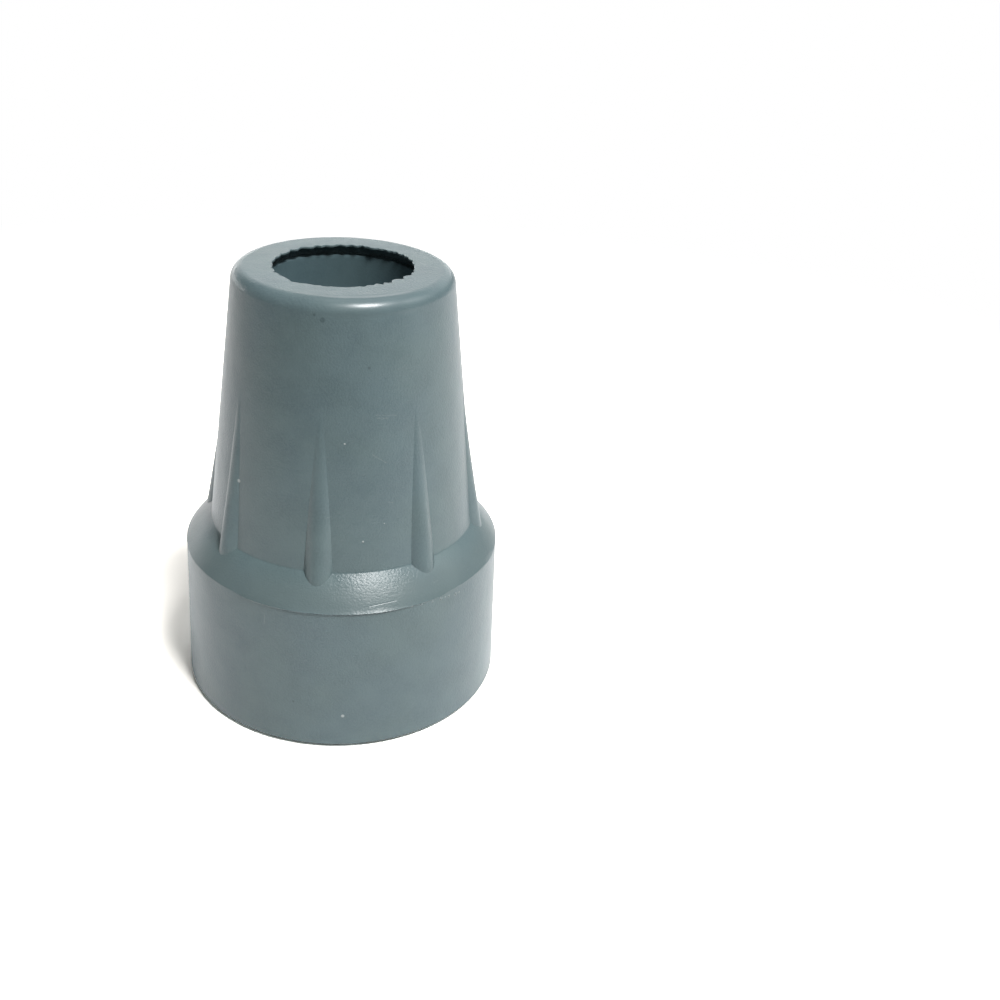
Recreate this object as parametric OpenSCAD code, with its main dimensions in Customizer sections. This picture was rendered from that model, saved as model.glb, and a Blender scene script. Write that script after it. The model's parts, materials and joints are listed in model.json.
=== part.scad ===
// Rubber cane tip, moulded in one piece: a tapered socket sleeve on a broad foot,
// stiffened by tapered ribs, with a dished and ringed sole.
// Millimetres, +Z up. The origin is the centre of the sole, on the ground.

/* [Foot] */
// Diameter of the foot where it meets the ground chamfer
foot_d = 45; // [42:0.5:60]
// Diameter of the foot at the parting line
collar_d = 43.8; // [41:0.1:48]
// Height of the parting line above the ground
collar_z = 21.3; // [16:0.1:26]
// Width of the chamfer round the sole
sole_chamfer_w = 0.65; // [0.2:0.05:1.5]
// Height of the chamfer round the sole
sole_chamfer_h = 0.6; // [0.2:0.05:2]
// How far the moulding flash stands out at the parting line
flash_proud = 0.1; // [0.05:0.01:0.4]
// Height of that flash
flash_h = 0.4; // [0.2:0.05:1]

/* [Shoulder] */
// Diameter of the sleeve where it leaves the shoulder
crease_d = 37.1; // [34:0.1:40]
// Height of the shoulder above the parting line
shoulder_h = 4; // [2:0.1:8]
// How far the shoulder bulges past a straight cone
shoulder_bulge = 0.26; // [0.05:0.01:0.6]
// Radius in the crease between shoulder and sleeve
crease_r = 0.35; // [0.1:0.05:1]

/* [Sleeve] */
// Height of the whole tip
overall_h = 60.4; // [50:0.1:80]
// Diameter of the sleeve at the rim, before the rim is rounded
rim_d = 28.5; // [25:0.1:34]
// Radius round the outer edge of the rim
rim_round = 1.8; // [0.5:0.1:3]

/* [Ribs] */
// Number of ribs round the sleeve
rib_count = 8; // [3:1:12]
// Height of a rib above the crease
rib_h = 21.9; // [10:0.1:28]
// Width of a rib at the crease
rib_w = 3.5; // [2:0.1:5]
// How far a rib stands out of the sleeve at the crease
rib_proud = 1.15; // [0.4:0.05:1.4]
// Radius of a rib's round where it fades into the sleeve
rib_tip_r = 1; // [0.4:0.05:1.2]

/* [Socket] */
// Bore of the socket, a tight grip on an 18 mm stick
bore_d = 17.5; // [14:0.1:20]
// Depth of the socket from the rim
bore_depth = 41; // [30:0.5:48]
// Radius round the socket's floor
floor_r = 1; // [0.3:0.1:3]

/* [Mouth] */
// Thickness of the trimmed lip at its edge
lip_edge_t = 0.3; // [0.2:0.05:0.6]
// Thickness of the lip at its root
lip_root_t = 0.6; // [0.3:0.05:1]
// How far the groove under the lip is cut into the wall
undercut_w = 0.9; // [0.4:0.05:1.5]
// Depth of the groove's lower edge below the rim
undercut_depth = 1.55; // [1.2:0.05:3]
// Least clearance of the lip round the bore
lip_gap = 0.05; // [0.02:0.01:0.1]
// How much wider the lip's opening is along its long axis
mouth_oval = 0.25; // [0:0.01:0.3]
// Direction of that long axis
mouth_oval_angle = 47; // [0:1:180]
// Depth of the deepest nick in the lip's edge
nick_depth = 0.42; // [0.05:0.01:0.45]
// Number of nicks torn round the lip's edge
nick_count = 38; // [20:1:60]
// Direction of the stretch where the edge was trimmed clean
clean_angle = 249; // [0:1:360]
// Half the angle that the clean stretch covers
clean_half_angle = 45; // [10:1:90]

/* [Sole] */
// Width of the flat that stands on the ground
land_w = 0.75; // [0.5:0.05:1.5]
// Distance from the foot's edge to the outer groove
outer_ring_w = 5.2; // [4:0.1:7]
// Width of the outer groove
outer_groove_w = 3.2; // [2:0.1:4]
// Width of the middle ring
middle_ring_w = 4.3; // [3:0.1:5]
// Diameter of the centre button
button_d = 12.7; // [6:0.1:14]
// Height of the outer ring's inner edge above the ground
outer_ring_rise = 2.05; // [0.5:0.05:3]
// Height of the middle ring's face above the ground
middle_ring_rise = 3.5; // [1:0.05:4.5]
// Height of the centre button's face above the ground
button_rise = 4.6; // [1:0.05:5.5]
// Height of the outer groove's floor above the ground
outer_groove_rise = 5.1; // [4.6:0.1:8]
// Height of the inner groove's floor above the ground
inner_groove_rise = 6.5; // [5.6:0.1:9]
// Draft of each groove's walls, across the whole wall
groove_draft = 0.15; // [0:0.05:0.4]
// Radius along the rings' edges
ring_edge_r = 0.3; // [0.1:0.05:0.6]
// Radius in the corners of the grooves
groove_corner_r = 0.4; // [0.1:0.05:0.8]

/* [Gate mark] */
// Diameter of the crescent that the moulding gate left on the button
gate_d = 3.6; // [2:0.1:5]
// Width of the crescent at its middle
gate_w = 0.8; // [0.3:0.05:1.2]
// Depth of the crescent
gate_depth = 0.3; // [0.1:0.05:0.6]
// Direction in which the crescent bulges
gate_angle = 200; // [0:5:360]

/* [Hidden] */

rubber = [0.44, 0.52, 0.54];
round_fn = 96;
arc_step = 9;
shoulder_steps = 8;
nick_seed = 41;
nick_wander = 0.8;
nick_spread = 0.7;
tooth_share = 0.25;
clean_share = 0.2;
cut_margin = 1;

foot_r = foot_d / 2;
collar_r = collar_d / 2;
crease_at = [crease_d / 2, collar_z + shoulder_h];
rim_at = [rim_d / 2, overall_h];
bore_r = bore_d / 2;
bore_floor_z = overall_h - bore_depth;
undercut_r = bore_r + undercut_w;

land_out_r = foot_r - sole_chamfer_w;
land_in_r = land_out_r - land_w;
outer_groove_out_r = foot_r - outer_ring_w;
outer_groove_in_r = outer_groove_out_r - outer_groove_w;
inner_groove_out_r = outer_groove_in_r - middle_ring_w;
button_r = button_d / 2;

// Share of a rib's length that is buried above its tip and below the crease.
rib_tip_bury = 0.06;
rib_root_bury = 0.12;
rib_root_r = (pow(rib_w / 2, 2) + pow(rib_proud, 2)) / (2 * rib_proud);

function unit(v) = v / norm(v);

// Radius of the sleeve's outside at a height, along the straight taper.
function sleeve_r(z) =
    crease_at.x + (rim_at.x - crease_at.x) * (z - crease_at.y) / (rim_at.y - crease_at.y);

// The points of an arc that rounds corner b of the path a-b-c, kept inside both its legs.
function rounded_corner(a, b, c, r) =
    let (
        u = unit(a - b),
        v = unit(c - b),
        half = acos(min(1, max(-1, u * v))) / 2,
        leg = min(r / tan(half), norm(a - b) / 2, norm(c - b) / 2),
        centre = b + unit(u + v) * leg / cos(half),
        from = b + u * leg - centre,
        turn = 180 - 2 * half,
        steps = max(1, ceil(turn / arc_step)),
        side = sign(cross(b - a, c - b))
    )
    [for (i = [0:steps])
        let (t = side * turn * i / steps)
        centre + [from.x * cos(t) - from.y * sin(t), from.x * sin(t) + from.y * cos(t)]];

// A closed outline of [x, y, corner radius] points, with each corner rounded.
function rounded_outline(p) =
    let (n = len(p))
    [for (i = [0:n - 1])
        let (
            a = p[(i + n - 1) % n],
            b = p[i],
            c = p[(i + 1) % n]
        )
        each (b.z > 0
            ? rounded_corner([a.x, a.y], [b.x, b.y], [c.x, c.y], b.z)
            : [[b.x, b.y]])];

// Points between a and b on the arc that bulges to the right of the way from a to b.
function bulged(a, b, bulge, steps) =
    let (
        chord = norm(b - a),
        r = chord * chord / (8 * bulge) + bulge / 2,
        along = unit(b - a),
        out = [along.y, -along.x],
        centre = (a + b) / 2 + out * (bulge - r),
        half = asin(chord / 2 / r)
    )
    [for (i = [1:steps - 1])
        let (t = half * (2 * i / steps - 1))
        centre + r * (out * cos(t) + along * sin(t))];

// Half section of the outside: over the sole's rings, up the foot and in over the rim.
function outside_section() =
    concat(
        [
            [0, button_rise, 0],
            [button_r, button_rise, ring_edge_r],
            [button_r + groove_draft, inner_groove_rise, groove_corner_r],
            [inner_groove_out_r - groove_draft, inner_groove_rise, groove_corner_r],
            [inner_groove_out_r, middle_ring_rise, ring_edge_r],
            [outer_groove_in_r, middle_ring_rise, ring_edge_r],
            [outer_groove_in_r + groove_draft, outer_groove_rise, groove_corner_r],
            [outer_groove_out_r - groove_draft, outer_groove_rise, groove_corner_r],
            [outer_groove_out_r, outer_ring_rise, ring_edge_r],
            [land_in_r, 0, 0],
            [land_out_r, 0, 0],
            [foot_r, sole_chamfer_h, ring_edge_r],
            [collar_r, collar_z - flash_h / 2, 0],
            [collar_r + flash_proud, collar_z, 0]
        ],
        [for (q = bulged([collar_r, collar_z + flash_h / 2], crease_at, shoulder_bulge, shoulder_steps))
            [q.x, q.y, 0]],
        [
            [crease_at.x, crease_at.y, crease_r],
            [rim_at.x, rim_at.y, rim_round],
            [0, overall_h, 0]
        ]
    );

// Half section of the socket: the mouth, the groove under the lip, the bore and its floor.
function socket_section() = [
    [0, overall_h + cut_margin, 0],
    [bore_r, overall_h + cut_margin, 0],
    [bore_r, overall_h - lip_edge_t, 0],
    [undercut_r, overall_h - lip_root_t, 0],
    [undercut_r, overall_h - undercut_depth, 0],
    [bore_r, overall_h - undercut_depth, 0],
    [bore_r, bore_floor_z, floor_r],
    [0, bore_floor_z, 0]
];

// How deep the nicks are at an angle: full depth, or less along the clean stretch.
function nick_share(angle) =
    abs(((angle - clean_angle) % 360 + 540) % 360 - 180) < clean_half_angle ? clean_share : 1;

// The opening that the ragged lip leaves, as a closed outline round the bore.
// Each nick has a tooth on one side and a floor whose two corners are torn to different depths.
function ragged_mouth_outline() =
    let (
        corners = nick_count * 3,
        shares = rands(0, 1, corners, nick_seed)
    )
    [for (i = [0:corners - 1])
        let (
            angle = 360 * (i + nick_wander * (shares[(i + 1) % corners] - 0.5)) / corners,
            oval = mouth_oval * (1 + cos(2 * (angle - mouth_oval_angle))) / 2,
            depth = i % 3 == 0 ? tooth_share * shares[i] : 1 - nick_spread * shares[i],
            r = (bore_r + lip_gap) / cos(360 / corners) + oval + nick_depth * depth * nick_share(angle)
        )
        r * [cos(angle), sin(angle)]];

// One rib, a leaning cone whose crest rises out of the sleeve towards the shoulder.
module rib() {
    tip = [sleeve_r(crease_at.y + rib_h) - rib_tip_r, crease_at.y + rib_h];
    root = [crease_at.x + rib_proud - rib_root_r, crease_at.y];
    run = root - tip;
    top = tip - run * rib_tip_bury;
    foot = root + run * rib_root_bury;
    growth = rib_root_r - rib_tip_r;
    lean = atan2(run.x, -run.y);
    translate([foot.x, 0, foot.y])
        rotate([0, -lean, 0])
            cylinder(
                h = norm(foot - top),
                r1 = rib_root_r + growth * rib_root_bury,
                r2 = rib_tip_r - growth * rib_tip_bury,
                $fn = round_fn
            );
}

module ribs() {
    for (i = [0:rib_count - 1])
        rotate([0, 0, -90 + 360 * i / rib_count])
            rib();
}

module ragged_mouth() {
    translate([0, 0, overall_h - undercut_depth])
        linear_extrude(undercut_depth + cut_margin)
            polygon(ragged_mouth_outline());
}

// The crescent left by the gate, cut up into the button's face.
module gate_mark() {
    rotate([0, 0, gate_angle])
        translate([0, 0, button_rise - cut_margin])
            difference() {
                cylinder(h = cut_margin + gate_depth, d = gate_d, $fn = round_fn);
                translate([-gate_w, 0, -cut_margin])
                    cylinder(h = 3 * cut_margin + gate_depth, d = gate_d, $fn = round_fn);
            }
}

module cane_tip() {
    color(rubber)
        difference() {
            union() {
                rotate_extrude($fn = round_fn)
                    polygon(rounded_outline(outside_section()));
                ribs();
            }
            rotate_extrude($fn = round_fn)
                polygon(rounded_outline(socket_section()));
            ragged_mouth();
            gate_mark();
        }
}

cane_tip();
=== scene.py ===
"""Looks of a moulded rubber cane tip: its body with the ribs, torn lip and ringed sole, its satin
rubber, and the floor, lamps and camera. Metres, +Z up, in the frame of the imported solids."""

import json
import math

import bmesh
import bpy
from mathutils import Matrix, Vector


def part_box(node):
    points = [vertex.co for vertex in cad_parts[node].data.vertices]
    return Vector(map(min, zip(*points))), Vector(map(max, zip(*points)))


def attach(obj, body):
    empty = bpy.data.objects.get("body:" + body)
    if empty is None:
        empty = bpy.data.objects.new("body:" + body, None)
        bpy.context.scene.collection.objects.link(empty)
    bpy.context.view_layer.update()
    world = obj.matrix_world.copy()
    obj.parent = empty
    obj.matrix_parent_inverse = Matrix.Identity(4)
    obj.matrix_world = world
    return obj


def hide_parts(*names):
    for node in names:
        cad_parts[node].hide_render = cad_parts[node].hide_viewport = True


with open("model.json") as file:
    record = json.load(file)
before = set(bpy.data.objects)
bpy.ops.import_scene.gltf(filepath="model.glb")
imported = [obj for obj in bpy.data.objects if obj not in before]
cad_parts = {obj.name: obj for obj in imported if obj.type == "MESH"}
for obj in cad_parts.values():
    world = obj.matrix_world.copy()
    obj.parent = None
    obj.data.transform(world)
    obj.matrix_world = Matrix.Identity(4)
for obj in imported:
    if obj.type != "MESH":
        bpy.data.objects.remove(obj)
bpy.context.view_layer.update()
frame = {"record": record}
MM = 0.001

# ---------------------------------------------------------------- sizes of the tip
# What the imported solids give: the foot, the height and the bore.
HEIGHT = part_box("cane_tip")[1].z
FOOT_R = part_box("cane_tip")[1].x
SOCKET = next(m for m in frame["record"]["mounts"] if m["name"] == "socket")
BORE_R = SOCKET["dims"]["r_mm"] * MM

# Foot, parting line and shoulder.
COLLAR_R = 21.9 * MM
COLLAR_Z = 21.3 * MM
CHAMFER_W = 0.65 * MM
CHAMFER_H = 0.6 * MM
FLASH_PROUD = 0.1 * MM
FLASH_H = 0.4 * MM
SHOULDER_H = 3.93 * MM
SHOULDER_BULGE = 0.15 * MM
SHOULDER_STEPS = 8
CREASE_R = 18.36 * MM
CREASE_Z = COLLAR_Z + SHOULDER_H
CREASE_ROUND = 0.3 * MM

# Sleeve and rim.
RIM_R = 14.25 * MM
RIM_ROUND = 1.8 * MM
SLEEVE_RINGS = [z * MM for z in range(27, 57, 3)]

# Ribs: sunk rounds with flared flanks, whose crests rise out of the sleeve ever faster.
RIB_COUNT = 8
FIRST_RIB = -90.6
RIB_H = 21.9 * MM
RIB_PROUD = 1.15 * MM
RIB_RISE = 1.65
RIB_R = 1.75 * MM
RIB_FLARE = 0.25 * MM
RIB_STEPS = 12
RIB_TIP_BURY = 0.15 * MM

# Mouth of the socket: the torn lip, the groove under it and the bore.
MOUTH_R = BORE_R + 0.1 * MM
LIP_EDGE_T = 0.3 * MM
LIP_EDGE_ROUND = 0.09 * MM
UNDERCUT_R = BORE_R + 1.9 * MM
UNDERCUT_TOP = 0.6 * MM
UNDERCUT_BOTTOM = 1.55 * MM
LEAD_IN_R = BORE_R + 0.9 * MM
LEAD_IN_TOP = 1.62 * MM
LEAD_IN_DEPTH = 12 * MM
LEAD_IN_FRAY = 0.5 * MM
BORE_FLOOR_Z = HEIGHT - 41 * MM
FLOOR_ROUND = 1 * MM

# Broad pulls that leave the mouth oval: direction in degrees, the lip's radius there in mm and
# reach in mm.
MOUTH_PULLS = [
    (20, 9.0, 4),
    (48, 9.3, 5),
    (90, 9.05, 4),
    (143, 9.05, 4),
    (180, 9.1, 5),
    (215, 9.15, 5),
    (240, 9.3, 3),
    (310, 8.2, 5),
    (335, 8.3, 3),
]
# Nicks torn into the lip: direction in degrees, depth in mm and reach to each side in mm.
NICKS = [
    (6, 0.1, 0.5),
    (17, 0.12, 0.5),
    (28, 0.25, 0.6),
    (38, 0.2, 0.6),
    (45, 0.25, 0.5),
    (53, 0.3, 0.5),
    (58, 0.2, 0.4),
    (65, 0.3, 0.6),
    (70, 0.25, 0.5),
    (81, 0.25, 0.5),
    (86, 0.45, 0.5),
    (94, 0.35, 0.6),
    (104, 0.45, 0.8),
    (116, 0.35, 0.7),
    (124, 0.45, 0.5),
    (137, 0.45, 0.9),
    (148, 0.4, 0.7),
    (163, 0.25, 0.6),
    (174, 0.12, 0.7),
    (185, 0.15, 0.8),
    (201, 0.15, 0.9),
    (212, 0.3, 0.5),
    (221, 0.1, 0.7),
    (238, 0.25, 0.8),
    (244, 0.1, 0.5),
    (256, 0.15, 0.5),
    (265, 0.15, 0.6),
    (283, 0.06, 0.5),
    (296, 0.3, 0.5),
    (304, 0.25, 0.4),
    (313, 0.6, 0.4),
    (321, 0.55, 0.7),
    (336, 0.6, 0.8),
    (349, 0.3, 0.7),
    (358, 0.2, 0.5),
]

# Flash that the knife left or took at the parting line: direction, move in mm and reach in mm.
FLASH_PULLS = [
    (-170, -0.09, 14),
    (-130, -0.09, 9),
    (-97, 0.05, 3),
    (-90, 0.08, 4),
    (-82, 0.05, 3),
    (-74, 0.1, 4),
    (-66, 0.08, 3),
    (-58, 0.05, 2.5),
    (-30, -0.12, 8),
    (0, -0.07, 7),
    (35, 0.06, 4),
    (52, 0.1, 3),
    (100, -0.08, 10),
    (128, 0.08, 3),
]
# The same for the edge where the lead-in starts below the lip: spread all round, and uneven in
# place and move without any repeat that shows.
LEAD_IN_STEP = 9
LEAD_IN_SHIFT = 2
LEAD_IN_MOVE = 0.16
LEAD_IN_WAVE = 7
LEAD_IN_REACH = 0.8
LEAD_IN_PULLS = [
    (
        angle + LEAD_IN_SHIFT * math.sin(angle),
        LEAD_IN_MOVE * math.sin(LEAD_IN_WAVE * angle),
        LEAD_IN_REACH,
    )
    for angle in range(0, 360, LEAD_IN_STEP)
]
# Crumbs of rubber on the parting line: direction in degrees, height in mm and radius in mm. They
# are sunk by a share of their radius, and torn by a share of it.
CRUMBS = [
    (-56.5, 21.2, 0.16),
    (-52.8, 21.1, 0.2),
    (-48.2, 20.9, 0.15),
    (-44.5, 20.85, 0.24),
    (-42.6, 20.8, 0.14),
    (-40.8, 20.7, 0.18),
    (-37.5, 20.5, 0.22),
    (-35.6, 20.45, 0.13),
    (61, 21.3, 0.2),
    (64, 21.25, 0.15),
    (131, 21.2, 0.18),
]
CRUMB_SUNK = 0.5
CRUMB_TEAR = 0.25

# Crescent that the gate left on the button: a disc cut less a second one beside it.
GATE_R = 1.8 * MM
GATE_W = 0.8 * MM
GATE_DEPTH = 0.3 * MM
GATE_ANGLE = 200

# Sole: land, outer ring, grooves, middle ring and button.
LAND_OUT_R = FOOT_R - CHAMFER_W
LAND_IN_R = LAND_OUT_R - 0.75 * MM
OUTER_GROOVE_OUT_R = FOOT_R - 5.2 * MM
OUTER_GROOVE_IN_R = OUTER_GROOVE_OUT_R - 3.2 * MM
INNER_GROOVE_OUT_R = OUTER_GROOVE_IN_R - 4.3 * MM
BUTTON_R = 6.35 * MM
OUTER_RING_RISE = 2.05 * MM
MIDDLE_RING_RISE = 3.5 * MM
BUTTON_RISE = 4.6 * MM
OUTER_GROOVE_RISE = 5.1 * MM
INNER_GROOVE_RISE = 6.5 * MM
GROOVE_DRAFT = 0.15 * MM
RING_EDGE_ROUND = 0.3 * MM
GROOVE_CORNER_ROUND = 0.4 * MM

# How finely the pieces are divided, how their edges are rounded and shaded, and how near a vertex
# has to be to count as in place.
COLUMNS = 360
COLUMN = math.radians(360 / COLUMNS)
ROUND_SIDES = 96
ROUND_SEGMENTS = 5
LARGE_ROUND_SEGMENTS = 10
SMOOTH_BELOW = math.radians(22)
NEAR = 1e-7


# ---------------------------------------------------------------- modelling helpers
def alone(piece):
    """Makes one object the only selected one, and the active one."""
    bpy.ops.object.select_all(action="DESELECT")
    piece.select_set(True)
    bpy.context.view_layer.objects.active = piece


def pick(piece, chosen):
    """In edit mode, selects the vertices for which chosen(place) holds, and what lies between them."""
    bpy.ops.mesh.select_all(action="DESELECT")
    mesh = bmesh.from_edit_mesh(piece.data)
    for vertex in mesh.verts:
        vertex.select = chosen(vertex.co)
    mesh.select_flush_mode()
    mesh.select_flush(True)
    bmesh.update_edit_mesh(piece.data)


def on_ring(place, r, z):
    """Whether a place lies on the ring of a given radius and height round the axis."""
    return abs(math.hypot(place.x, place.y) - r) < NEAR and abs(place.z - z) < NEAR


def pull(piece, angle, move, reach):
    """In edit mode, moves what shows of the piece in one direction from the axis outwards or
    inwards, with a soft falloff to each side."""
    way = Vector((math.cos(math.radians(angle)), math.sin(math.radians(angle))))
    pick(piece, lambda place: place.xy.angle(way) < COLUMN)
    bpy.ops.transform.translate(
        value=(way.x * move, way.y * move, 0),
        use_proportional_edit=True,
        proportional_edit_falloff="SMOOTH",
        proportional_size=reach,
    )


def show_only(piece, chosen):
    """In edit mode, hides every vertex for which chosen(place) doesn't hold."""
    bpy.ops.mesh.select_mode(type="VERT")
    pick(piece, chosen)
    bpy.ops.mesh.hide(unselected=True)


def settle(piece):
    """Puts an object's place into its mesh, so that the object is at the origin, unturned."""
    alone(piece)
    bpy.ops.object.transform_apply(location=True, rotation=True, scale=True)
    return piece


def cut_or_join(piece, tool, operation):
    """Joins a tool shape to the piece or cuts it out, and removes the tool."""
    alone(piece)
    boolean = piece.modifiers.new("shape", "BOOLEAN")
    boolean.operation = operation
    boolean.solver = "EXACT"
    boolean.object = tool
    bpy.ops.object.modifier_apply(modifier=boolean.name)
    bpy.data.objects.remove(tool)


# ---------------------------------------------------------------- the turned body
def sleeve_r(z):
    """The sleeve's radius at a height."""
    return CREASE_R + (RIM_R - CREASE_R) * (z - CREASE_Z) / (HEIGHT - CREASE_Z)


def shoulder_rings():
    """The rings of the bulged shoulder, between the parting line and the crease."""
    start = Vector((COLLAR_R, COLLAR_Z + FLASH_H / 2))
    end = Vector((CREASE_R, CREASE_Z))
    chord = end - start
    radius = chord.length**2 / (8 * SHOULDER_BULGE) + SHOULDER_BULGE / 2
    along = chord.normalized()
    out = Vector((along.y, -along.x))
    centre = (start + end) / 2 + out * (SHOULDER_BULGE - radius)
    half = math.asin(chord.length / 2 / radius)
    rings = []
    for step in range(1, SHOULDER_STEPS):
        turn = half * (2 * step / SHOULDER_STEPS - 1)
        place = centre + radius * (out * math.cos(turn) + along * math.sin(turn))
        rings.append((place.x, place.y, 0))
    return rings


def lead_in_r(depth):
    """The lead-in's radius at a depth below the rim."""
    share = (depth - LEAD_IN_TOP) / (LEAD_IN_DEPTH - LEAD_IN_TOP)
    return LEAD_IN_R + (BORE_R - LEAD_IN_R) * share


def outline():
    """The rings of the body as (radius, height, round), from the button under the sole, over the
    foot and the sleeve, and down into the socket."""
    return [
        (BUTTON_R, BUTTON_RISE, RING_EDGE_ROUND),
        (BUTTON_R + GROOVE_DRAFT, INNER_GROOVE_RISE, GROOVE_CORNER_ROUND),
        (INNER_GROOVE_OUT_R - GROOVE_DRAFT, INNER_GROOVE_RISE, GROOVE_CORNER_ROUND),
        (INNER_GROOVE_OUT_R, MIDDLE_RING_RISE, RING_EDGE_ROUND),
        (OUTER_GROOVE_IN_R, MIDDLE_RING_RISE, RING_EDGE_ROUND),
        (OUTER_GROOVE_IN_R + GROOVE_DRAFT, OUTER_GROOVE_RISE, GROOVE_CORNER_ROUND),
        (OUTER_GROOVE_OUT_R - GROOVE_DRAFT, OUTER_GROOVE_RISE, GROOVE_CORNER_ROUND),
        (OUTER_GROOVE_OUT_R, OUTER_RING_RISE, RING_EDGE_ROUND),
        (LAND_IN_R, 0, 0),
        (LAND_OUT_R, 0, 0),
        (FOOT_R, CHAMFER_H, RING_EDGE_ROUND),
        (COLLAR_R, COLLAR_Z - FLASH_H / 2, 0),
        (COLLAR_R + FLASH_PROUD, COLLAR_Z, 0),
        (COLLAR_R, COLLAR_Z + FLASH_H / 2, 0),
        *shoulder_rings(),
        (CREASE_R, CREASE_Z, CREASE_ROUND),
        *((sleeve_r(z), z, 0) for z in SLEEVE_RINGS),
        (RIM_R, HEIGHT, RIM_ROUND),
        (MOUTH_R, HEIGHT, LIP_EDGE_ROUND),
        (MOUTH_R, HEIGHT - LIP_EDGE_T, LIP_EDGE_ROUND),
        (UNDERCUT_R, HEIGHT - UNDERCUT_TOP, 0),
        (UNDERCUT_R, HEIGHT - UNDERCUT_BOTTOM, 0),
        (LEAD_IN_R, HEIGHT - LEAD_IN_TOP, 0),
        (lead_in_r(LEAD_IN_TOP + LEAD_IN_FRAY), HEIGHT - LEAD_IN_TOP - LEAD_IN_FRAY, 0),
        (BORE_R, HEIGHT - LEAD_IN_DEPTH, FLOOR_ROUND),
        (BORE_R, BORE_FLOOR_Z, FLOOR_ROUND),
    ]


def tangent_length(before, corner, after, round_r):
    """How far from a corner of the outline its round of a given radius starts."""
    here = Vector(corner[:2])
    half = (Vector(before[:2]) - here).angle(Vector(after[:2]) - here) / 2
    return round_r / math.tan(half)


def turned_body():
    """A ring extruded up the foot, over the rim and down the socket, then closed and rounded."""
    rings = outline()
    r, z = rings[0][:2]
    bpy.ops.mesh.primitive_circle_add(vertices=COLUMNS, radius=r, location=(0, 0, z))
    body = settle(bpy.context.object)
    bpy.ops.object.mode_set(mode="EDIT")
    bpy.ops.mesh.select_all(action="SELECT")
    for next_r, next_z, _ in rings[1:]:
        bpy.ops.mesh.extrude_region_move(TRANSFORM_OT_translate={"value": (0, 0, next_z - z)})
        bpy.ops.transform.resize(value=(next_r / r, next_r / r, 1))
        r, z = next_r, next_z
    for cap_r, cap_z in (rings[0][:2], rings[-1][:2]):
        pick(body, lambda place: on_ring(place, cap_r, cap_z))
        bpy.ops.mesh.edge_face_add()
    bpy.ops.mesh.select_all(action="SELECT")
    bpy.ops.mesh.normals_make_consistent(inside=False)
    path = [(0, rings[0][1], 0), *rings, (0, rings[-1][1], 0)]
    for before, corner, after in zip(path, path[1:], path[2:]):
        if corner[2]:
            pick(body, lambda place: on_ring(place, corner[0], corner[1]))
            bpy.ops.mesh.bevel(
                offset=tangent_length(before, corner, after, corner[2]),
                segments=LARGE_ROUND_SEGMENTS if corner[2] > FLOOR_ROUND else ROUND_SEGMENTS,
                affect="EDGES",
            )
    bpy.ops.object.mode_set(mode="OBJECT")
    return body


def tear_lip(body):
    """Pulls the lip's edge oval and tears the nicks into it."""
    alone(body)
    bpy.ops.object.mode_set(mode="EDIT")
    show_only(
        body,
        lambda place: place.xy.length < MOUTH_R + 2 * LIP_EDGE_ROUND
        and place.z > HEIGHT - LIP_EDGE_T - 2 * LIP_EDGE_ROUND,
    )
    for angle, r, reach in MOUTH_PULLS:
        pull(body, angle, r * MM - MOUTH_R, reach * MM)
    for angle, depth, reach in NICKS:
        pull(body, angle, depth * MM, reach * MM)
    bpy.ops.mesh.reveal(select=False)
    bpy.ops.object.mode_set(mode="OBJECT")


def fray(body, z, pulls):
    """Makes the edge at a height uneven: further out in places, and further in elsewhere."""
    alone(body)
    bpy.ops.object.mode_set(mode="EDIT")
    show_only(body, lambda place: abs(place.z - z) < NEAR)
    for angle, move, reach in pulls:
        pull(body, angle, move * MM, reach * MM)
    bpy.ops.mesh.reveal(select=False)
    bpy.ops.object.mode_set(mode="OBJECT")


def crumb(angle, z, r):
    """A crumb of rubber that sits in the parting line, with a torn shape of its own."""
    way = Matrix.Rotation(math.radians(angle), 3, "Z") @ Vector((1, 0, 0))
    bpy.ops.mesh.primitive_ico_sphere_add(
        subdivisions=2,
        radius=r * MM,
        location=way * (COLLAR_R - CRUMB_SUNK * r * MM) + Vector((0, 0, z * MM)),
    )
    piece = settle(bpy.context.object)
    bpy.ops.object.mode_set(mode="EDIT")
    bpy.ops.mesh.select_all(action="SELECT")
    bpy.ops.transform.vertex_random(offset=CRUMB_TEAR * r * MM, seed=int(abs(angle) * 10))
    bpy.ops.object.mode_set(mode="OBJECT")
    return piece


def joined(pieces):
    """Makes one object of several."""
    alone(pieces[0])
    for piece in pieces:
        piece.select_set(True)
    bpy.ops.object.join()
    return bpy.context.object


def gate_crescent():
    """The tool shape of the gate's crescent, across the button's face."""
    turn = Matrix.Rotation(math.radians(GATE_ANGLE), 3, "Z")
    discs = []
    for shift, depth in ((0, 2 * GATE_DEPTH), (-GATE_W, 4 * GATE_DEPTH)):
        bpy.ops.mesh.primitive_cylinder_add(
            vertices=ROUND_SIDES,
            radius=GATE_R,
            depth=depth,
            location=turn @ Vector((shift, 0, 0)) + Vector((0, 0, BUTTON_RISE)),
        )
        discs.append(settle(bpy.context.object))
    cut_or_join(discs[0], discs[1], "DIFFERENCE")
    return discs[0]


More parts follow.
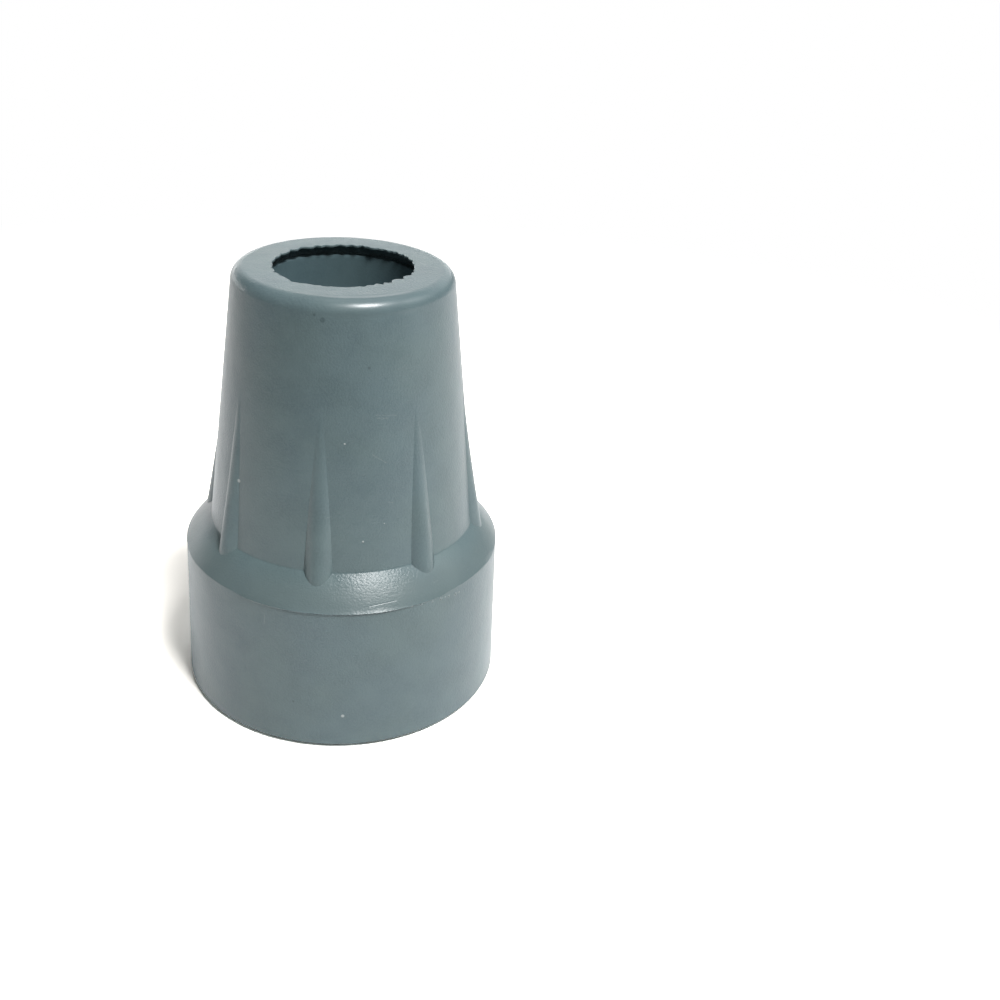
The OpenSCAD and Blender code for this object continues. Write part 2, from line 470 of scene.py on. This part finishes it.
def rib(angle):
    """A rib: one rounded section that is carried from the buried tip down into the shoulder."""
    path = [(sleeve_r(CREASE_Z + RIB_H) - RIB_TIP_BURY, CREASE_Z + RIB_H)]
    for step in range(1, RIB_STEPS + 2):
        share = step / RIB_STEPS
        z = CREASE_Z + RIB_H * (1 - share)
        path.append((sleeve_r(z) + RIB_PROUD * share**RIB_RISE, z))
    bpy.ops.mesh.primitive_circle_add(vertices=ROUND_SIDES, radius=RIB_R, location=(-RIB_R, 0, 0))
    piece = settle(bpy.context.object)
    bpy.ops.object.mode_set(mode="EDIT")
    for side in (1, -1):
        pick(piece, lambda place: side * place.y > RIB_R - NEAR)
        bpy.ops.transform.translate(
            value=(0, side * RIB_FLARE, 0),
            use_proportional_edit=True,
            proportional_edit_falloff="SMOOTH",
            proportional_size=RIB_R,
        )
    bpy.ops.mesh.select_all(action="SELECT")
    r, z = path[0]
    bpy.ops.transform.translate(value=(r, 0, z))
    bpy.ops.mesh.edge_face_add()
    for next_r, next_z in path[1:]:
        bpy.ops.mesh.extrude_region_move(
            TRANSFORM_OT_translate={"value": (next_r - r, 0, next_z - z)}
        )
        r, z = next_r, next_z
    bpy.ops.mesh.select_all(action="SELECT")
    bpy.ops.mesh.normals_make_consistent(inside=False)
    bpy.ops.object.mode_set(mode="OBJECT")
    piece.rotation_euler.z = math.radians(angle)
    return settle(piece)


def moulded_body():
    """The whole tip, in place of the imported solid."""
    body = turned_body()
    tear_lip(body)
    fray(body, COLLAR_Z, FLASH_PULLS)
    fray(body, HEIGHT - LEAD_IN_TOP, LEAD_IN_PULLS)
    ribs = joined([rib(FIRST_RIB + 360 * i / RIB_COUNT) for i in range(RIB_COUNT)])
    cut_or_join(body, ribs, "UNION")
    cut_or_join(body, joined([crumb(*place) for place in CRUMBS]), "UNION")
    cut_or_join(body, gate_crescent(), "DIFFERENCE")
    alone(body)
    bpy.ops.object.shade_smooth_by_angle(angle=SMOOTH_BELOW)
    weighted = body.modifiers.new("normals", "WEIGHTED_NORMAL")
    weighted.keep_sharp = True
    bpy.ops.object.modifier_apply(modifier=weighted.name)
    body.name = "moulded_body"
    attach(body, "root")
    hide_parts("cane_tip")
    return body


# ---------------------------------------------------------------- finishes
class Value:
    """A socket in a node tree, so that sums on it add the nodes that work them out."""

    def __init__(self, nodes, socket):
        self.nodes = nodes
        self.socket = socket

    def _math(self, operation, first, second):
        return self.nodes.node("ShaderNodeMath", {"operation": operation}, {0: first, 1: second})

    def __add__(self, other):
        return self._math("ADD", self, other)

    def __sub__(self, other):
        return self._math("SUBTRACT", self, other)

    def __rsub__(self, other):
        return self._math("SUBTRACT", other, self)

    def __mul__(self, other):
        return self._math("MULTIPLY", self, other)

    __radd__ = __add__
    __rmul__ = __mul__


class Nodes:
    """A node tree that is built node by node."""

    def __init__(self, tree):
        self.tree = tree
        self.tree.nodes.clear()

    def node(self, kind, settings=None, inputs=None, output=0):
        """Adds a node, sets it up and fills its sockets. Returns one of its outputs, if any."""
        node = self.tree.nodes.new(kind)
        for name, value in (settings or {}).items():
            setattr(node, name, value)
        for name, value in (inputs or {}).items():
            if isinstance(value, Value):
                self.tree.links.new(value.socket, node.inputs[name])
            else:
                node.inputs[name].default_value = value
        return Value(self, node.outputs[output]) if node.outputs else None


# ---------------------------------------------------------------- the rubber
# The mottle runs from dark to pale, and a broader one from green to blue. The grain's peaks and the
# shoulder each have a tone of their own, and the socket below the lip gets painted shade.
DARK_RUBBER = (0.136, 0.196, 0.21, 1)
PALE_RUBBER = (0.182, 0.256, 0.268, 1)
GREEN_RUBBER = (0.17, 0.238, 0.24, 1)
BLUE_RUBBER = (0.158, 0.228, 0.255, 1)
GRAIN_RUBBER = (0.185, 0.26, 0.272, 1)
SHOULDER_RUBBER = (0.182, 0.238, 0.243, 1)
# Painted shade: the dark colour that the socket's walls take below the lip, in place of the shade of
# its depth.
PAINTED_SOCKET_SHADE = (0.045, 0.1, 0.125, 1)
# Marks on it: the bloom of scuffs and scratches, a painted highlight on the crumbs, specks and spots.
BLOOM = (0.3, 0.36, 0.37, 1)
# Painted highlight: the pale colour on the crumbs, where their lumps catch the light.
PAINTED_CRUMB_HIGHLIGHT = (0.42, 0.48, 0.49, 1)
SPECK_COLOUR = (0.6, 0.65, 0.65, 1)
SPOT_COLOUR = (0.07, 0.105, 0.115, 1)
# How much each tone or mark covers of what lies under it.
HUE_COVER = 0.45
GRAIN_COVER = 0.5
SHOULDER_COVER = 0.6
WORN_COVER = 0.5
SOCKET_SHADE_COVER = 0.45
SCRATCH_COVER = 0.35
CRUMB_HIGHLIGHT_COVER = 0.5
SPOT_COVER = 0.5
SPECK_COVER = 0.9
# How scuffed the rib in front and the shoulder are, against the land.
RIB_WEAR = 0.7
SHOULDER_WEAR = 0.35

# Refractive index and roughness of the plain rubber, and what the grain, the mottle and the wear
# add to its roughness.
REFRACTION = 1.5
ROUGHNESS = 0.285
GRAIN_ROUGHNESS = 0.05
MOTTLE_ROUGHNESS = 0.03
LAND_ROUGHNESS = 0.12
WORN_ROUGHNESS = 0.1
SHOULDER_ROUGHNESS = 0.01
# The gloss of the polished stretch of the rim.
POLISH_GLOSS = 0.65
POLISH_ROUGHNESS = 0.29

# Relief of the grain, the waves and the marks, and which share of it the polish, the socket and
# the shoulder take away.
GRAIN_RELIEF = 0.045 * MM
GRAIN_POLISHED_OFF = 0.85
GRAIN_LOST_INSIDE = 0.7
GRAIN_LOST_ON_SHOULDER = 0.4
WAVE_RELIEF = 0.07 * MM
WAVES_POLISHED_OFF = 0.6
WAVES_LOST_ON_SHOULDER = 0.3
MOULD_LINE_RELIEF = 0.008 * MM
SCRATCH_RELIEF = 0.015 * MM
SPECK_RELIEF = 0.03 * MM

# Size in mm and detail of the noises, and how far some of them are drawn out round the axis. Then
# the noise values between which each rises from nothing to full.
MOTTLE_NOISE = (4.5, 4)
MOTTLE_RISE = (0.3, 0.7)
HUE_NOISE = (11, 2)
HUE_RISE = (0.35, 0.65)
GRAIN_NOISE = (0.28, 2)
GRAIN_RISE = (0.25, 0.75)
WAVE_NOISE = (3.2, 1)
MOULD_LINE_NOISE = (0.16, 2, (60, 60, 1))
SCUFF_NOISE = (0.35, 3, (5, 5, 1))
SCUFF_RISE = (0.62, 0.78)

# Soft edges of the regions where the finish changes: the height or radius outside a region and
# the one inside it.
RIM_LOW_Z = (HEIGHT - 2.6 * MM, HEIGHT - 1.7 * MM)
RIM_IN_R = (11.9 * MM, 12.7 * MM)
# The socket's region, which takes painted shade and loses grain: its radius, its low end and its high
# end.
SOCKET_OUT_R = (10.4 * MM, 10 * MM)
SOCKET_LOW_Z = (15 * MM, 18 * MM)
SOCKET_HIGH_Z = (HEIGHT - 0.9 * MM, HEIGHT - 1.3 * MM)
LAND_HIGH_Z = (1.1 * MM, 0.4 * MM)
LAND_EDGE_R = (20 * MM, 21 * MM)
SHOULDER_LOW_Z = (COLLAR_Z - 0.2 * MM, COLLAR_Z + 0.3 * MM)
SHOULDER_HIGH_Z = (CREASE_Z, COLLAR_Z + 1.5 * MM)
# Where handling has polished the rim, and where the rib in front is scuffed: place in mm, radius.
POLISHED_SPOT = (5.5, -12.4, 59.9, 6)
SCUFFED_SPOT = (0.6, -18.6, 31, 3.2)

# Where the soft edge of a round mark starts and ends, in shares of its radius.
SPOT_INSIDE = 0.6
SPOT_OUTSIDE = 1.25
# How far a crumb's painted highlight reaches, in shares of its radius, and half a scratch's width in
# mm.
CRUMB_SPREAD = 1.2
SCRATCH_W = 0.13

# White specks: place in mm and radius in mm.
SPECKS = [
    (-11.45, -13.05, 34.73, 0.26),
    (2.85, -16.06, 42.76, 0.12),
    (5.41, -17.02, 29.55, 0.14),
    (7.92, -15.72, 31.75, 0.07),
    (3.68, -22.04, 5.25, 0.23),
    (10.68, 12.98, 38.5, 0.15),
    (-15.95, 8.44, 27.9, 0.13),
    (-6.2, 21.3, 9.4, 0.15),
    (20.4, 9.2, 14.6, 0.12),
]
# Dark spots in the same way.
SPOTS = [
    (-0.08, -14.5, 58.05, 0.34),
    (-1.1, -14.5, 58.6, 0.2),
    (5.5, -14.17, 52.28, 0.2),
    (-9.62, 12.96, 44.2, 0.3),
    (17.1, 13.6, 15.5, 0.35),
    (-2.94, -22.11, 7.06, 0.16),
]
# Hairline scratches: both ends in mm.
SCRATCHES = [
    ((6.22, -15.28, 41.18), (7.89, -14.65, 39.92)),
    ((6.52, -14.5, 46.26), (8.85, -13.26, 45.91)),
    ((6.67, -14.49, 45.85), (7.89, -13.88, 45.7)),
    ((-6.71, -20.87, 19.6), (-6.75, -20.9, 18.3)),
    ((6.9, -20.4, 22.05), (8.6, -19.6, 22.15)),
    ((8.6, -19.6, 22.15), (10.1, -18.8, 22.2)),
    ((8.27, -15.15, 34.6), (8.87, -14.84, 34.4)),
    ((-14.34, 9.9, 33.2), (-12.98, 11.95, 31.4)),
    ((12.3, 18.6, 13.2), (10.1, 19.9, 12.4)),
]


class Finish(Nodes):
    """A material whose marks are laid out in the part's own place, in metres."""

    def __init__(self, name):
        self.material = bpy.data.materials.new(name)
        self.material.use_nodes = True
        super().__init__(self.material.node_tree)
        self.place = self.node("ShaderNodeTexCoord", output="Object")

    def surface(self, shader):
        """Makes a shader the one that shows, and returns the finished material."""
        self.node("ShaderNodeOutputMaterial", inputs={"Surface": shader})
        return self.material

    def noise(self, size, detail=2, stretch=(1, 1, 1)):
        """Noise whose cells are of a given size in mm, longer along an axis where stretch is more."""
        place = self.node(
            "ShaderNodeVectorMath", {"operation": "DIVIDE"}, {0: self.place, 1: stretch}
        )
        return self.node(
            "ShaderNodeTexNoise",
            inputs={"Vector": place, "Scale": 1 / (size * MM), "Detail": detail},
        )

    def ramp(self, value, start, end, low=0, high=1):
        """A smooth rise from low at start to high at end."""
        return self.node(
            "ShaderNodeMapRange",
            {"interpolation_type": "SMOOTHSTEP"},
            {"Value": value, "From Min": start, "From Max": end, "To Min": low, "To Max": high},
        )

    def blend(self, share, first, second):
        """A colour between two, nearer the second where share is more."""
        return self.node(
            "ShaderNodeMix", {"data_type": "RGBA"}, {0: share, 6: first, 7: second}, output=2
        )

    def distance(self, place, other):
        """How far two places are apart."""
        return self.node(
            "ShaderNodeVectorMath", {"operation": "DISTANCE"}, {0: place, 1: other}, output=1
        )

    def spot(self, x, y, z, r):
        """A round mark at a place in mm, soft at its edge."""
        away = self.distance(self.place, (x * MM, y * MM, z * MM))
        return self.ramp(away, SPOT_OUTSIDE * r * MM, SPOT_INSIDE * r * MM)

    def hairline(self, start, end, width):
        """A thin straight mark from one place to another, all in mm."""
        start, end = Vector(start) * MM, Vector(end) * MM
        run = end - start
        from_start = self.node(
            "ShaderNodeVectorMath", {"operation": "SUBTRACT"}, {0: self.place, 1: tuple(start)}
        )
        along = self.node(
            "ShaderNodeVectorMath",
            {"operation": "DOT_PRODUCT"},
            {0: from_start, 1: tuple(run / run.length_squared)},
            output=1,
        )
        share = self.node("ShaderNodeClamp", inputs={"Value": along})
        nearest = self.node(
            "ShaderNodeVectorMath", {"operation": "SCALE"}, {0: tuple(run), "Scale": share}
        )
        return self.ramp(self.distance(from_start, nearest), width * MM, 0)

    def most(self, marks):
        """The strongest of several marks."""
        strongest = marks[0]
        for mark in marks[1:]:
            strongest = self.node(
                "ShaderNodeMath", {"operation": "MAXIMUM"}, {0: strongest, 1: mark}
            )
        return strongest


class Regions:
    """Where on the tip its finish changes: each is 1 inside and 0 outside, with a soft edge."""

    def __init__(self, rubber):
        height = rubber.node("ShaderNodeSeparateXYZ", inputs={0: rubber.place}, output=2)
        flat = rubber.node(
            "ShaderNodeVectorMath", {"operation": "MULTIPLY"}, {0: rubber.place, 1: (1, 1, 0)}
        )
        radius = rubber.node("ShaderNodeVectorMath", {"operation": "LENGTH"}, {0: flat}, output=1)
        rim = rubber.ramp(height, *RIM_LOW_Z) * rubber.ramp(radius, *RIM_IN_R)
        self.polish = rim * rubber.spot(*POLISHED_SPOT)
        # The socket below the lip: it takes painted shade, and loses most of its grain.
        socket = rubber.ramp(radius, *SOCKET_OUT_R) * rubber.ramp(height, *SOCKET_LOW_Z)
        self.inside = socket * rubber.ramp(height, *SOCKET_HIGH_Z)
        self.land = rubber.ramp(height, *LAND_HIGH_Z) * rubber.ramp(radius, *LAND_EDGE_R)
        above_foot = rubber.ramp(height, *SHOULDER_LOW_Z)
        self.shoulder = above_foot * rubber.ramp(height, *SHOULDER_HIGH_Z)
        self.front_rib = rubber.spot(*SCUFFED_SPOT)


def painted_crumb_highlights(rubber):
    """A painted highlight: pale colour on and round the crumbs on the parting line."""
    marks = []
    for angle, z, r in CRUMBS:
        way = Vector((math.cos(math.radians(angle)), math.sin(math.radians(angle))))
        x, y = COLLAR_R / MM * way
        marks.append(rubber.spot(x, y, z, CRUMB_SPREAD * r))
    return rubber.most(marks)


def rubber_finish():
    """Satin rubber: a mottled blue grey with a fine grain, faint mould lines round the axis, a few
    specks, spots and scratches, and a rim that handling has polished."""
    rubber = Finish("blue_grey_rubber")
    on = Regions(rubber)

    mottle = rubber.ramp(rubber.noise(*MOTTLE_NOISE), *MOTTLE_RISE)
    hue = rubber.ramp(rubber.noise(*HUE_NOISE), *HUE_RISE)
    grain = rubber.noise(*GRAIN_NOISE)
    waves = rubber.noise(*WAVE_NOISE)
    mould_lines = rubber.noise(*MOULD_LINE_NOISE)
    scuffs = rubber.ramp(rubber.noise(*SCUFF_NOISE), *SCUFF_RISE)
    worn = scuffs * rubber.most([on.land, on.front_rib * RIB_WEAR, on.shoulder * SHOULDER_WEAR])
    scratches = rubber.most([rubber.hairline(*ends, SCRATCH_W) for ends in SCRATCHES])
    spots = rubber.most([rubber.spot(*spot) for spot in SPOTS])
    specks = rubber.most([rubber.spot(*speck) for speck in SPECKS])

    colour = rubber.blend(mottle, DARK_RUBBER, PALE_RUBBER)
    tint = rubber.blend(hue, GREEN_RUBBER, BLUE_RUBBER)
    for share, shade in (
        (HUE_COVER, tint),
        (rubber.ramp(grain, *GRAIN_RISE) * GRAIN_COVER, GRAIN_RUBBER),
        (on.shoulder * SHOULDER_COVER, SHOULDER_RUBBER),
        (worn * WORN_COVER, BLOOM),
        # Painted shade down the socket, below the lip.
        (on.inside * SOCKET_SHADE_COVER, PAINTED_SOCKET_SHADE),
        (scratches * SCRATCH_COVER, BLOOM),
        # Painted highlight on and round the crumbs.
        (painted_crumb_highlights(rubber) * CRUMB_HIGHLIGHT_COVER, PAINTED_CRUMB_HIGHLIGHT),
        (spots * SPOT_COVER, SPOT_COLOUR),
        (specks * SPECK_COVER, SPECK_COLOUR),
    ):
        colour = rubber.blend(share, colour, shade)

    roughness = (
        ROUGHNESS
        + grain * GRAIN_ROUGHNESS
        + mottle * MOTTLE_ROUGHNESS
        + on.land * LAND_ROUGHNESS
        + worn * WORN_ROUGHNESS
        + on.shoulder * SHOULDER_ROUGHNESS
    )
    grain_left = (
        1
        - on.polish * GRAIN_POLISHED_OFF
        - on.inside * GRAIN_LOST_INSIDE
        - on.shoulder * GRAIN_LOST_ON_SHOULDER
    )
    waves_left = 1 - on.polish * WAVES_POLISHED_OFF - on.shoulder * WAVES_LOST_ON_SHOULDER
    relief = (
        grain * grain_left * GRAIN_RELIEF
        + waves * waves_left * WAVE_RELIEF
        + mould_lines * MOULD_LINE_RELIEF
        - scratches * SCRATCH_RELIEF
        + specks * SPECK_RELIEF
    )
    bump = rubber.node("ShaderNodeBump", inputs={"Height": relief, "Distance": 1, "Strength": 1})
    shader = rubber.node(
        "ShaderNodeBsdfPrincipled",
        inputs={
            "Base Color": colour,
            "Roughness": roughness,
            "IOR": REFRACTION,
            "Coat Weight": on.polish * POLISH_GLOSS,
            "Coat Roughness": POLISH_ROUGHNESS,
            "Normal": bump,
        },
    )
    return rubber.surface(shader)


def dress(piece, material):
    """Gives a piece its finish, in place of any other."""
    piece.data.materials.clear()
    piece.data.materials.append(material)


# ---------------------------------------------------------------- floor, lamps and camera
# The white sheet: what it adds to its own white for the camera, its white for all else, and what
# that loses away from the tip.
PAPER = (1.86, 1.77, 1.64)
FLOOR_WHITE = 0.62
FAR_FLOOR_LOSS = 0.25
FLOOR_SIZE = 6
# How far from the tip the sheet turns plain white for the camera, from start to end.
PLAIN_FROM = 100 * MM
PLAIN_TO = 250 * MM
# What reflections add to the sheet's white, from the part well in front of the tip to the rest.
FRONT_Y = -200 * MM
NEAR_Y = -70 * MM
FRONT_GAIN = -0.5
NEAR_GAIN = 1.15
WHITE = (1, 1, 1, 1)
# What the room itself lights the tip with.
ROOM_LIGHT = 0.03

# The camera: how far from the axis and how high it stands, its turn round the tip from -Y in
# degrees, how it is turned from there in radians, and its lens and sensor in mm.
EYE_AWAY = 149.73 * MM
EYE_HEIGHT = 106.7 * MM
EYE_ROUND = 9.8
EYE_YAW, EYE_PITCH, EYE_ROLL = 0.1484, 0.489, 0.072
LENS = 42.67
SENSOR_W = 36
CLIP_START = 10 * MM

# Soft lamps a metre from the tip: azimuth and elevation in degrees, width and height in degrees,
# and irradiance at the tip.
LAMPS = {
    "key_lamp": (-44, 61.5, 14, 14, 2.7),
    "backdrop_lamp": (120, 4, 84, 8, 1.0),
    "haze_lamp": (88, 26, 66, 25, 0.68),
    "sky_lamp": (100, 72, 40, 30, 0.25),
    "side_lamp": (15, 41, 20, 20, 0.35),
    "front_lamp": (-66, 40, 36, 30, 0.12),
}


def floor():
    """A white sheet, which lights the tip as plain paper does. The camera sees it lighter, with the
    tip's shadow kept, and plain white away from the tip. Reflections see it darker well in front of
    the tip and lighter elsewhere."""
    bpy.ops.mesh.primitive_plane_add(size=FLOOR_SIZE, location=(0, 0, 0))
    sheet = bpy.context.object
    sheet.name = "floor"
    finish = Finish("white_table")
    seen = finish.node("ShaderNodeLightPath", output="Is Camera Ray")
    mirrored = finish.node("ShaderNodeLightPath", output="Is Glossy Ray")
    depth = finish.node("ShaderNodeSeparateXYZ", inputs={0: finish.place}, output=1)
    gain = finish.ramp(depth, FRONT_Y, NEAR_Y, FRONT_GAIN, NEAR_GAIN)
    away = finish.node(
        "ShaderNodeVectorMath", {"operation": "LENGTH"}, {0: finish.place}, output=1
    )
    far = finish.ramp(away, PLAIN_FROM, PLAIN_TO)
    plain = FLOOR_WHITE - far * FAR_FLOOR_LOSS + mirrored * gain
    paper = finish.node(
        "ShaderNodeVectorMath", {"operation": "SCALE"}, {0: PAPER, "Scale": seen}
    )
    white = finish.node("ShaderNodeVectorMath", inputs={0: paper, 1: plain})
    paint = finish.node("ShaderNodeBsdfDiffuse", inputs={"Color": white})
    glow = finish.node("ShaderNodeEmission", inputs={"Color": WHITE, "Strength": 1})
    shown = finish.node("ShaderNodeMixShader", inputs={0: seen * far, 1: paint, 2: glow})
    dress(sheet, finish.surface(shown))


def camera():
    """The camera stands a little to the right of the rib on -Y and looks down at the tip."""
    data = bpy.data.cameras.new("camera")
    data.lens = LENS
    data.sensor_width = SENSOR_W
    data.clip_start = CLIP_START
    eye = bpy.data.objects.new("camera", data)
    bpy.context.scene.collection.objects.link(eye)
    round_the_tip = math.radians(EYE_ROUND)
    turn = (
        Matrix.Rotation(round_the_tip - EYE_YAW, 4, "Z")
        @ Matrix.Rotation(math.pi / 2 - EYE_PITCH, 4, "X")
        @ Matrix.Rotation(EYE_ROLL, 4, "Z")
    )
    place = Matrix.Rotation(round_the_tip, 4, "Z") @ Vector((0, -EYE_AWAY, EYE_HEIGHT))
    eye.matrix_world = Matrix.Translation(place) @ turn
    bpy.context.scene.camera = eye


def softbox(name, azimuth, elevation, width, height, light):
    """A soft lamp a metre from the middle of the tip, which it faces."""
    round_the_tip = Matrix.Rotation(math.radians(azimuth), 3, "Z")
    up = Matrix.Rotation(math.radians(-elevation), 3, "Y")
    way = round_the_tip @ up @ Vector((1, 0, 0))
    data = bpy.data.lights.new(name, "AREA")
    data.shape = "RECTANGLE"
    data.size = 2 * math.tan(math.radians(width / 2))
    data.size_y = 2 * math.tan(math.radians(height / 2))
    data.energy = light * math.pi
    lamp = bpy.data.objects.new(name, data)
    bpy.context.scene.collection.objects.link(lamp)
    lamp.location = Vector((0, 0, HEIGHT / 2)) + way
    lamp.rotation_euler = (-way).to_track_quat("-Z", "Y").to_euler()


def studio():
    """The room: hardly any light of its own, and white where the camera sees past the floor."""
    world = bpy.data.worlds.new("studio")
    bpy.context.scene.world = world
    world.use_nodes = True
    room = Nodes(world.node_tree)
    seen = room.node("ShaderNodeLightPath", output="Is Camera Ray")
    strength = ROOM_LIGHT + (1 - ROOM_LIGHT) * seen
    light = room.node("ShaderNodeBackground", inputs={"Color": WHITE, "Strength": strength})
    room.node("ShaderNodeOutputWorld", inputs={"Surface": light})


body = moulded_body()
dress(body, rubber_finish())
floor()
camera()
for name, values in LAMPS.items():
    softbox(name, *values)
studio()
bpy.context.scene.view_settings.view_transform = "Standard"
